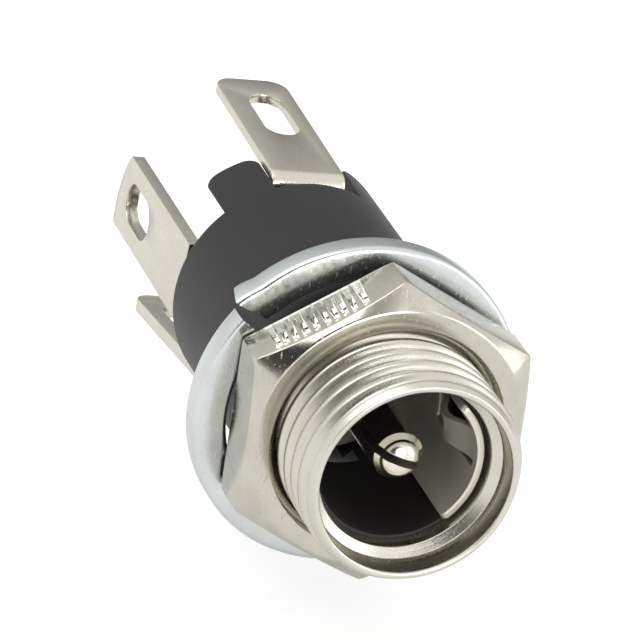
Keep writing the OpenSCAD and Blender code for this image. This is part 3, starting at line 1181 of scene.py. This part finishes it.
@dataclass
class Housing(Piece):
    """The black moulded body with its guard walls, notches and two openings.

    Attributes:
        seat_r: Inner radius behind the board's seat.
        chamber_r: Inner radius in front of it.
        rim_z: Height of the rear rim in the notches.
        guard_z: Height of the guard walls' free ends.
        board_z: Height of the board's seat.
        corner: Rounding of the guard walls' corners.
        rim_edge: Rounding of the rim in the notches.
        wall_edge: Rounding of the guard walls' free ends.
        notch_left: Place across the body at which the top notch ends on the left.
        notch_low: Angle in degrees at which it begins on the right.
        guard_high: Angle at which the left guard wall ends.
        guard_low: Angle at which the right one begins.
        columns: Number of evenly spaced columns.
        end_steps: Degrees past and before each wall's end at which columns are added.
        outer_rows: Heights that divide the long outer wall.
        seat_row: Height that divides the inner wall behind the seat.
        side_opening: Box that opens the right side.
        under_opening: Box that opens the underside.
    """

    node: str = "body_housing"
    slot: str = "black_moulding"
    finish: Finish = BODY_BLACK
    body_r: float = 6.2
    seat_r: float = 5.39
    chamber_r: float = 5.0
    nose_r: float = 4.1
    nose_out_r: float = 4.46
    nose_z: float = 5.0
    rim_z: float = -12.95
    guard_z: float = -16.5
    board_z: float = -11.8
    chamber_z: float = -4.5
    corner: float = 0.75
    rim_edge: float = 0.35
    notch_left: float = -2.05
    notch_low: float = 65.5
    guard_high: float = 136.0
    guard_low: float = -80.0
    wall_edge: float = 0.14
    columns: int = 240
    end_steps: tuple[float, ...] = (
        *(-0.9, -0.5, -0.25, -0.08, -0.01),
        *(0.01, 0.08, 0.25, 0.6, 1.2, 2.0, 3.0, 4.2, 5.6, 7.0),
    )
    outer_rows: tuple[float, ...] = (-6.0, -12.0, -12.55)
    seat_row: float = -12.3
    side_opening: Box = ((3.1, -2.4, -6.4), (9.3, 0.7, -0.4))
    under_opening: Box = ((-0.9, -7.2, -7.0), (1.2, -3.5, -2.5))

    def edges(self) -> list[tuple[float, int]]:
        """List the guard walls' ends as (angle, side on which the wall lies)."""
        left = math.degrees(math.acos(self.notch_left / self.body_r))
        return [(self.guard_low, 1), (self.notch_low, -1), (left, 1), (self.guard_high, -1)]

    def rear(self, degrees: float) -> float:
        """Give the height of the wall's free end.

        Args:
            degrees: Angle round the axis.

        Returns:
            The height in millimetres.
        """
        ends = self.edges()
        turn = (degrees - self.guard_low) % 360.0 + self.guard_low
        for (a, _), (b, _) in (ends[0:2], ends[2:4]):
            if a <= turn <= b:
                near = min(turn - a, b - turn) * math.pi / 180.0 * self.body_r
                if near >= self.corner:
                    return self.guard_z
                rest = self.corner - near
                return self.guard_z + self.corner - math.sqrt(max(self.corner**2 - rest**2, 0.0))
        return self.rim_z

    def angles(self) -> list[float]:
        """List the columns' angles, close together round the guard walls' ends.

        Returns:
            The angles in degrees, from the smallest up.
        """
        found = {round(360.0 * i / self.columns, 3) for i in range(self.columns)}
        for angle, side in self.edges():
            found.update(round((angle + side * step) % 360.0, 3) for step in self.end_steps)
        return sorted(found)

    def build(self) -> bpy.types.Object:
        """Turn the body with a rear edge that follows the guard walls, then cut its openings.

        Returns:
            The object, in the frame.
        """
        columns = self.angles()

        def section(degrees: float) -> list[Point2]:
            """Give the body's section at an angle.

            Args:
                degrees: Angle round the axis.

            Returns:
                The section's points as (radius, z).
            """
            rear = self.rear(degrees)
            rear_edge = self.rim_edge if rear > self.rim_z - 0.1 else self.wall_edge
            return filleted(
                [
                    (self.nose_r, self.nose_z, 0.05),
                    (self.nose_out_r, self.nose_z, 0.05),
                    (self.nose_out_r, 0.0, 0.0),
                    (self.body_r, 0.0, 0.1),
                    *((self.body_r, z, 0.0) for z in self.outer_rows),
                    (self.body_r, rear, rear_edge),
                    (self.seat_r, rear, 0.1),
                    (self.seat_r, self.seat_row, 0.0),
                    (self.seat_r, self.board_z, 0.0),
                    (self.chamber_r, self.board_z, 0.0),
                    (self.chamber_r, self.chamber_z, 0.2),
                    (self.nose_r, self.chamber_z + self.chamber_r - self.nose_r, 0.2),
                ],
                steps=4,
            )

        sections = [section(a) for a in columns]

        def point(column: int, row: int) -> Vector:
            """Give a point of the body's surface."""
            radius, z = sections[column][row]
            return stand(*polar(radius, columns[column], z))

        obj = new_object("body", mesh_from_grid("body", len(columns), len(sections[0]), point), 45.0)
        carve(obj, *self.side_opening)
        carve(obj, *self.under_opening)
        return obj


@dataclass
class Pin(Piece):
    """The split centre pin, with its collar and staked tail.

    Attributes:
        slot_turn: Direction in degrees of the sawn slot.
        dome_r: Radius of the domed tip.
        dome_h: Height of the dome.
        shoulder: Length of the step under the dome.
        head_flank: Share of the staked head's height that is a plain flank.
        edge: Rounding of all edges.
    """

    node: str = "centre_pin"
    slot: str = "pin_plate"
    finish: Finish = PIN_NICKEL
    radius: float = 1.25
    tip_z: float = 5.4
    slot_w: float = 0.42
    slot_depth: float = 6.0
    slot_turn: float = -15.0
    collar_r: float = 2.0
    collar_t: float = 1.0
    board_z: float = -11.8
    head_z: float = -14.1
    head_h: float = 0.6
    head_r: float = 1.5
    tail_r: float = 0.9
    dome_r: float = 1.0
    dome_h: float = 0.55
    shoulder: float = 0.25
    head_flank: float = 0.3
    edge: float = 0.05

    def build(self) -> bpy.types.Object:
        """Turn the pin, then saw its slot.

        Returns:
            The object, in the frame.
        """
        dome_foot = self.tip_z - self.dome_h
        head = [
            (self.head_r * c, self.head_z - self.head_h * (self.head_flank + (1 - self.head_flank) * up))
            for c, up in arc(0, 0, 1.0, 75, 0, 5)
        ]
        shaft = filleted(
            [
                (self.head_r, self.head_z, 0.0),
                (self.tail_r, self.head_z, 0.0),
                (self.tail_r, self.board_z, 0.0),
                (self.collar_r, self.board_z, 0.0),
                (self.collar_r, self.board_z + self.collar_t, 0.1),
                (self.radius, self.board_z + self.collar_t, 0.0),
                (self.radius, dome_foot - self.shoulder, 0.08),
                (self.dome_r, dome_foot, 0.04),
                (self.dome_r, dome_foot + 0.01, 0.0),
            ],
            closed=False,
        )
        dome = [
            (max(self.dome_r * c, NEAR_AXIS), dome_foot + self.dome_h * up)
            for c, up in arc(0, 0, 1.0, 10, 90, 8)
        ]
        profile = [(NEAR_AXIS, self.head_z - self.head_h), *head, *shaft, *dome]
        obj = new_object("pin", turned("pin", profile, 96))
        across = self.collar_r
        half = self.slot_w / 2
        foot = self.tip_z - self.slot_depth
        carve(obj, (-across, -half, foot), (across, half, self.tip_z + 1), self.slot_turn)
        soften(obj, self.edge)
        return obj


@dataclass
class PinLug(Piece):
    """The top lug: a ring on the board, bent up and back to a slotted blade.

    Attributes:
        up: Distance of the blade's outer face from the axis, at the bend.
        length: Length of the lug behind the board.
        lean: Lean of the blade outwards, in degrees.
        slot_x: Place of the slot's middle across the blade.
        slot_back: Distance of the slot's middle from the tip.
        tip_r: Rounding of the tip's corners.
    """

    node: str = "pin_lug"
    slot: str = "lug_tin"
    finish: Finish = LUG_TIN
    width: float = 3.9
    thickness: float = 0.5
    ring_r: float = 2.6
    hole_r: float = 0.92
    board_z: float = -13.6
    up: float = 6.22
    bend_r: float = 0.75
    length: float = 11.3
    lean: float = 2.0
    slot_w: float = 1.85
    slot_l: float = 4.6
    slot_x: float = 0.2
    slot_back: float = 4.1
    tip_r: float = 1.0

    def build(self) -> bpy.types.Object:
        """Cut the blank flat and bend it.

        Returns:
            The object, in the frame.
        """
        t = self.thickness
        middle_r = self.bend_r - t / 2
        web = self.up - self.bend_r
        swing = math.radians(90.0 - self.lean)
        bend = middle_r * swing
        blade = self.length - self.bend_r
        end = web + bend + blade
        half = self.width / 2
        join = math.sqrt(self.ring_r**2 - half**2)
        start = math.degrees(math.atan2(join, half))
        tip = self.tip_r
        blade_corners = [(half, 0.0, 0.0), (half, end, tip), (-half, end, tip), (-half, 0.0, 0.0)]
        corners = filleted(blade_corners, steps=8, closed=False)
        outline = arc(0, 0, self.ring_r, 180 - start, 360 + start, 40) + corners[1:-1]
        hole = arc(0, 0, self.hole_r, 0, 360, 40)[:-1]
        wire = obround(self.slot_x, end - self.slot_back, self.slot_w, self.slot_l)

        def form(u: float, v: float, w: float) -> Point3:
            """Bend the blank.

            Args:
                u: Place across the blank.
                v: Place along it, from the ring's middle.
                w: Height over the sheet's middle.

            Returns:
                The upright point.
            """
            if v <= web:
                return (u, v, self.board_z - t / 2 + w)
            angle = min((v - web) / middle_r, swing)
            rest = max(v - web - bend, 0.0)
            radius = middle_r + w
            y = web + radius * math.sin(angle) + rest * math.cos(angle)
            z = self.board_z - self.bend_r + radius * math.cos(angle) - rest * math.sin(angle)
            return (u, y, z)

        blank = SheetBlank(outline, t, [hole, wire])
        mesh = blank.mesh("lug_top", form, cuts_v=spread(web, web + bend, 13))
        return new_object("lug_top", mesh)


@dataclass
class SideLug(Piece):
    """A straight lug with a narrow neck in the board and an oval wire hole: the left one.

    Attributes:
        name: The object's name.
        out: Distance of the outer face from the axis at the board.
        side: Place of the blade's middle across the lug.
        neck_side: Place of the neck's middle.
        neck_z: Height at which the neck ends inside the body.
        turn: Direction in which the lug's outer face looks, in degrees.
        hand: 1 or -1, the way in which the blank's own u runs across the jack.
        lean: Lean of the blade outwards, in degrees.
        hole_back: Distance of the hole's middle from the tip.
        drop: Extra distance outwards at the tip.
        arched: Whether the tip is an arch rather than square with round corners.
        tip_r: The arch's radius.
        tip_side: Place of the arch's centre across the lug.
        arch_corners: Rounding of the arch's two ends.
        corner: Rounding of a square tip's corners.
        edge: Rounding of the cut edges.
    """

    node: str = "switch_lug"
    slot: str = "lug_tin"
    finish: Finish = LUG_TIN
    name: str = "lug_left"
    width: float = 4.2
    thickness: float = 0.7
    out: float = 5.65
    length: float = 11.65
    side: float = 0.0
    neck_w: float = 2.6
    neck_side: float = 0.0
    neck_z: float = -9.4
    board_z: float = -13.6
    turn: float = 180.0
    hand: float = -1.0
    lean: float = 0.0
    hole_w: float = 2.15
    hole_l: float = 3.9
    hole_back: float = 3.45
    drop: float = 0.0
    arched: bool = True
    tip_r: float = 5.5
    tip_side: float = -1.0
    arch_corners: Point2 = (0.35, 0.12)
    corner: float = 0.8
    edge: float = 0.06

    def build(self) -> bpy.types.Object:
        """Cut the lug flat, lean its blade and set it round the axis.

        Returns:
            The object, in the frame.
        """
        half = self.width / 2
        neck = self.neck_w / 2
        inner = self.neck_z - self.board_z
        base = [
            (self.side - half, 0.0),
            (self.neck_side - neck, 0.0),
            (self.neck_side - neck, -inner),
            (self.neck_side + neck, -inner),
            (self.neck_side + neck, 0.0),
            (self.side + half, 0.0),
        ]
        if self.arched:
            tip = [self.arch_point(u) for u in spread(half, -half, 15)]
            steps = 4
        else:
            tip = [
                (self.side + half, self.length, self.corner),
                (self.side - half, self.length, self.corner),
            ]
            steps = 8
        foot = [(side, 0.0, 0.0) for side in (self.side + half, self.side - half)]
        tip = filleted([foot[0], *tip, foot[1]], steps=steps, closed=False)[1:-1]
        wire = obround(self.side, self.length - self.hole_back, self.hole_w, self.hole_l)
        blank = SheetBlank(base + tip, self.thickness, [wire], edge=self.edge)
        tilt = math.radians(self.lean)
        spin = math.radians(self.turn)

        def form(u: float, v: float, w: float) -> Point3:
            """Lean the blank and turn it to its side of the jack.

            Args:
                u: Place across the blank.
                v: Place along it, from the board's rear face.
                w: Height over the sheet's middle.

            Returns:
                The upright point.
            """
            depth = w + self.thickness / 2
            if v > 0:
                out = self.out - self.thickness + depth * math.cos(tilt) + v * math.sin(tilt)
                z = self.board_z - v * math.cos(tilt) + depth * math.sin(tilt)
                out += self.drop * smooth(v / self.length)
            else:
                out, z = self.out - self.thickness + depth, self.board_z - v
            x = out * math.cos(spin) - u * math.sin(spin) * self.hand
            y = out * math.sin(spin) + u * math.cos(spin) * self.hand
            return (x, y, z)

        return new_object(self.name, blank.mesh(self.name, form, cuts_v=[0.0]))

    def arch_point(self, u: float) -> Point3:
        """Give a corner of the arched tip.

        Args:
            u: Place across the lug.

        Returns:
            The corner as (u, v, rounding); only the arch's two ends are rounded.
        """
        half = self.width / 2
        v = self.length - self.tip_r + math.sqrt(self.tip_r**2 - (u - self.tip_side) ** 2)
        first, last = self.arch_corners
        return (u, v, {half: first, -half: last}.get(u, 0.0))


@dataclass
class SleeveLug(SideLug):
    """The lower lug, with a square tip, that leans outwards."""

    node: str = "sleeve_lug"
    name: str = "lug_lower"
    width: float = 4.0
    out: float = 5.35
    length: float = 11.2
    side: float = -1.8
    neck_w: float = 2.0
    neck_side: float = -1.3
    turn: float = 270.0
    hand: float = 1.0
    lean: float = 5.4
    drop: float = 0.3
    arched: bool = False


@dataclass
class SleeveSpring(Piece):
    """The rolled contact sheet on the socket's right wall, with its bowed tongue.

    Attributes:
        band_z: Height of the front band's rear edge.
        step_z: Height of the leg's front edge, where the leg is wider than the band.
        tail_z: Height of the tail's front edge.
        end_z: Height of the spring's rear end.
        band: Angles in degrees between which the front band lies.
        leg: Angles between which the leg lies.
        tail_end: Angle at which the tail ends.
        tongue: Angles between which the tongue lies.
        slit: Angle that each slit beside the tongue takes up.
        gap: Length of the gap behind the tongue's free end.
        tongue_z: Heights of the tongue's free end and root.
        bow: How far the tongue bows towards the axis.
        edge: Rounding of the cut edges.
    """

    node: str = "sleeve_spring"
    slot: str = "spring_sheet"
    finish: Finish = SPRING_SHEET
    out_r: float = 4.08
    thickness: float = 0.35
    front_z: float = 5.4
    band_z: float = -3.4
    step_z: float = -3.5
    tail_z: float = -9.5
    end_z: float = -11.5
    band: tuple[float, float] = (-47.0, 52.0)
    leg: tuple[float, float] = (-62.0, -12.0)
    tail_end: float = -118.0
    tongue: tuple[float, float] = (1.0, 27.0)
    slit: float = 5.0
    gap: float = 0.75
    tongue_z: tuple[float, float] = (0.45, 4.85)
    bow: float = 0.75
    edge: float = 0.04

    def build(self) -> bpy.types.Object:
        """Cut the blank flat, roll it and bow its tongue.

        Returns:
            The object, in the frame.
        """
        middle = self.out_r - self.thickness / 2
        unit = math.radians(middle)

        def at(degrees: float, z: float, radius: float) -> Point3:
            """Give a corner of the flat blank, with its rounding."""
            return (degrees * unit, z, radius)

        outline = filleted(
            [
                at(self.band[0], self.front_z, 0.3),
                at(self.band[1], self.front_z, 0.3),
                at(self.band[1], self.band_z, 0.3),
                at(self.leg[1], self.band_z, 0.3),
                at(self.leg[1], self.end_z, 0.2),
                at(self.tail_end, self.end_z, 0.2),
                at(self.tail_end, self.tail_z, 0.2),
                at(self.leg[0], self.tail_z, 0.2),
                at(self.leg[0], self.step_z, 0.3),
                at(self.band[0], self.step_z, 0.3),
            ]
        )
        low, high = self.tongue_z
        left, right = self.tongue[0] - self.slit, self.tongue[1] + self.slit
        slit = filleted(
            [
                at(left, high, 0.1),
                at(left, low - self.gap, 0.2),
                at(right, low - self.gap, 0.2),
                at(right, high, 0.1),
                at(self.tongue[1], high, 0.1),
                at(self.tongue[1], low, 0.25),
                at(self.tongue[0], low, 0.25),
                at(self.tongue[0], high, 0.1),
            ]
        )

        def form(u: float, v: float, w: float) -> Point3:
            """Roll the blank and bow its tongue.

            Args:
                u: Place round the roll, along the sheet's middle.
                v: Height along the axis.
                w: Height over the sheet's middle.

            Returns:
                The upright point.
            """
            degrees = u / unit
            bowed = 0.0
            on_tongue = self.tongue[0] - 0.05 <= degrees <= self.tongue[1] + 0.05
            if on_tongue and low < v < high:
                share = (v - low) / (high - low)
                bowed = self.bow * (1 - math.cos(2 * math.pi * share)) / 2
            return polar(middle + w - bowed, degrees, v)

        blank = SheetBlank(outline, self.thickness, [slit], edge=self.edge)
        cuts_u = [d * unit for d in spread(self.tail_end + 2, self.band[1] - 2, 84)]
        mesh = blank.mesh("sleeve_contact", form, cuts_u=cuts_u, cuts_v=spread(low, high, 21))
        return new_object("sleeve_contact", mesh)


@dataclass
class CadPiece:
    """A frame node that keeps its own shape and gets a finish."""

    node: str
    finish: Finish

    def dress(self, nodes: dict[str, bpy.types.Object], materials: Materials) -> None:
        """Give the node its material.

        Args:
            nodes: The frame's nodes by name.
            materials: Where the finished materials come from.
        """
        obj = nodes[self.node]
        obj.data.materials.clear()
        obj.data.materials.append(materials.get(self.finish))
        log.info("%s: dressed", self.node)


# --------------------------------------------------------------------------- studio


@dataclass(frozen=True)
class Patch:
    """A darker patch of the surround that the metal mirrors.

    Attributes:
        towards: Direction of its middle.
        inner: Angle in degrees up to which it keeps its own level.
        outer: Angle at which it has faded out.
        level: Its brightness beside the white surround.
    """

    towards: Point3
    inner: float
    outer: float
    level: float


@dataclass(frozen=True)
class Lamp:
    """A soft rectangular lamp that looks at the jack.

    Attributes:
        name: The lamp's name.
        at: Where it hangs, in metres.
        size: Its width and height, in metres.
        watts: Its power.
    """

    name: str
    at: Point3
    size: tuple[float, float]
    watts: float

    def hang(self, target: Point3) -> None:
        """Make the lamp and aim it.

        Args:
            target: The point that it looks at.
        """
        data = bpy.data.lights.new(self.name, "AREA")
        data.shape = "RECTANGLE"
        data.size, data.size_y = self.size
        data.energy = self.watts
        obj = bpy.data.objects.new(self.name, data)
        obj.location = self.at
        look = Vector(target) - Vector(self.at)
        obj.rotation_euler = look.to_track_quat("-Z", "Y").to_euler()
        bpy.context.scene.collection.objects.link(obj)


@dataclass
class Studio:
    """Floor, world, lamps and camera, with places in metres.

    Attributes:
        patches: Darker patches of the surround.
        lamps: The lamps.
        target: The point that the lamps look at.
        floor_z: Height of the floor.
        floor_size: Length of the floor's sides.
        floor_tone: Grey level of the floor.
        floor_rough: Its roughness.
        floor_specular: Its specular level.
        glow: Light that the floor adds for the camera alone.
        lens: The camera's focal length in millimetres.
        sensor: Width of its sensor in millimetres.
        clip: Nearest and farthest distance that it sees.
        camera_at: The camera's place.
        right: Direction to the right of the view.
        ahead: Direction in which the camera looks.
    """

    patches: tuple[Patch, ...] = (
        Patch((-0.357, -0.846, 0.397), 16.0, 34.0, 0.03),
        Patch((0.35, 0.9, 0.0), 10.0, 60.0, 0.35),
        Patch((0.36, -0.85, -0.40), 12.0, 34.0, 0.35),
        Patch((0.0, 0.0, -1.0), 40.0, 95.0, 0.55),
    )
    lamps: tuple[Lamp, ...] = (
        Lamp("key", (-0.45, -0.10, 0.75), (0.8, 0.8), 2.6),
        Lamp("fill", (0.70, -0.45, 0.20), (0.5, 0.7), 1.3),
        Lamp("front", (0.06, -0.60, 0.16), (0.3, 0.3), 1.6),
    )
    target: Point3 = (0.0, 0.005, 0.0)
    floor_z: float = -0.0125
    floor_size: float = 4.0
    floor_tone: float = 0.86
    floor_rough: float = 0.9
    floor_specular: float = 0.1
    glow: float = 0.35
    lens: float = 297.9
    sensor: float = 36.0
    clip: tuple[float, float] = (0.01, 20.0)
    camera_at: Point3 = (-0.0938, -0.2140, 0.1053)
    right: Point3 = (0.9327, -0.2980, 0.2030)
    ahead: Point3 = (0.3566, 0.8456, -0.3974)

    def camera(self) -> None:
        """Make the camera at the product's viewing angle."""
        data = bpy.data.cameras.new("camera")
        data.lens = self.lens
        data.sensor_width = self.sensor
        data.clip_start, data.clip_end = self.clip
        obj = bpy.data.objects.new("camera", data)
        back = -Vector(self.ahead).normalized()
        right = Vector(self.right).normalized()
        up = back.cross(right).normalized()
        turn = Matrix((right, up, back)).transposed().to_4x4()
        obj.matrix_world = Matrix.Translation(Vector(self.camera_at)) @ turn
        bpy.context.scene.collection.objects.link(obj)
        bpy.context.scene.camera = obj

    def floor(self) -> None:
        """Lay a pale floor that glows a little for the camera, so that it fades to white."""
        bpy.ops.mesh.primitive_plane_add(size=self.floor_size, location=(0, 0, self.floor_z))
        obj = bpy.context.object
        obj.name = "floor"
        material = bpy.data.materials.new("pale_floor")
        material.use_nodes = True
        tree = material.node_tree
        shader = tree.nodes["Principled BSDF"]
        shader.inputs["Base Color"].default_value = (*[self.floor_tone] * 3, 1.0)
        shader.inputs["Roughness"].default_value = self.floor_rough
        shader.inputs["Specular IOR Level"].default_value = self.floor_specular
        glow = tree.nodes.new("ShaderNodeEmission")
        glow.inputs["Color"].default_value = (1.0, 1.0, 1.0, 1.0)
        add = tree.nodes.new("ShaderNodeAddShader")
        path = tree.nodes.new("ShaderNodeLightPath")
        link(tree, scaled(tree, path.outputs["Is Camera Ray"], self.glow), glow.inputs["Strength"])
        link(tree, shader.outputs[0], add.inputs[0])
        link(tree, glow.outputs[0], add.inputs[1])
        link(tree, add.outputs[0], tree.nodes["Material Output"].inputs["Surface"])
        obj.data.materials.append(material)

    def world(self) -> None:
        """Set a white surround with darker patches, which only the metal mirrors."""
        world = bpy.data.worlds.new("surround")
        bpy.context.scene.world = world
        world.use_nodes = True
        tree = world.node_tree
        shade = tree.nodes["Background"]
        place = tree.nodes.new("ShaderNodeTexCoord")
        path = tree.nodes.new("ShaderNodeLightPath")
        level: Socket | float = 1.0
        for patch in self.patches:
            aim = tree.nodes.new("ShaderNodeVectorMath")
            aim.operation = "DOT_PRODUCT"
            aim.inputs[1].default_value = Vector(patch.towards).normalized()
            link(tree, place.outputs["Generated"], aim.inputs[0])
            near = math.cos(math.radians(patch.inner))
            far = math.cos(math.radians(patch.outer))
            share = ranged(tree, aim.outputs["Value"], far, near, 0.0, 1.0 - patch.level)
            level = maths(tree, "MULTIPLY", level, maths(tree, "SUBTRACT", 1.0, share))
        seen = path.outputs["Is Camera Ray"]
        hidden = maths(tree, "MULTIPLY", level, maths(tree, "SUBTRACT", 1.0, seen))
        mixed = maths(tree, "ADD", hidden, seen)
        shade.inputs["Color"].default_value = (1.0, 1.0, 1.0, 1.0)
        link(tree, mixed, shade.inputs["Strength"])

    def build(self) -> None:
        """Set the whole studio up."""
        scene = bpy.context.scene
        scene.view_settings.view_transform = "Standard"
        self.floor()
        self.world()
        for lamp in self.lamps:
            lamp.hang(self.target)
        self.camera()


def main() -> None:
    """Build the jack and the studio."""
    logging.basicConfig(level=logging.INFO, format="%(name)s: %(message)s")
    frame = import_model()
    materials = Materials()
    pieces: list[Piece] = [
        Bushing(),
        Nut(),
        Washer(),
        Housing(),
        Pin(),
        PinLug(),
        SideLug(),
        SleeveLug(),
        SleeveSpring(),
    ]
    for piece in pieces:
        piece.install(materials)
    for kept in (CadPiece("terminal_board", BOARD_BLACK), CadPiece("switch_spring", SPRING_SHEET)):
        kept.dress(frame["nodes"], materials)
    Studio().build()


if __name__ == "__main__":
    main()
